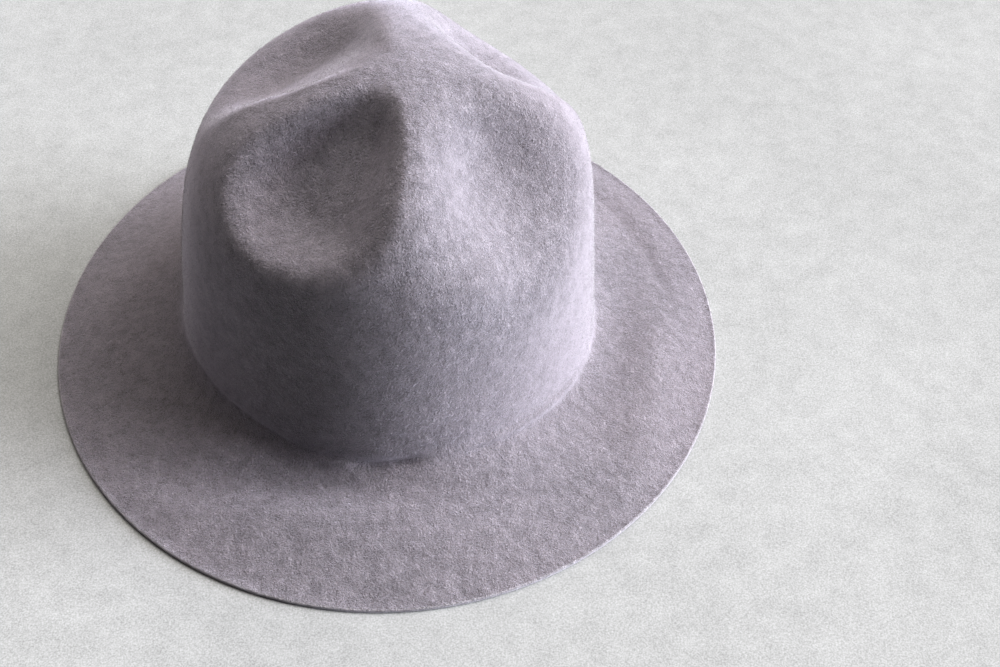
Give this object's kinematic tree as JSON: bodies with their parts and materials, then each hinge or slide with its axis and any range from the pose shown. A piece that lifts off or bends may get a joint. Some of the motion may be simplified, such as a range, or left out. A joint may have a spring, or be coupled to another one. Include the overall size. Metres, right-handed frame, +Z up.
{
  "type": "mountain hat",
  "caption": "Wool felt hat with a tall crown pinched into hollows round a blunt peak, and a broad sloping brim with a plain cut edge.",
  "frame": {"origin": "centre of the brim, on the surface that the brim's cut edge rests on", "axes": "+Z up through the peak, -Y to the wearer's front, +X to the wearer's left"},
  "size_m": [0.304, 0.314, 0.1565],
  "materials": {
    "felt": "soft brushed wool felt, mauve grey"
  },
  "bodies": {
    "root": {"felt_body": "felt"}
  },
  "joints": []
}
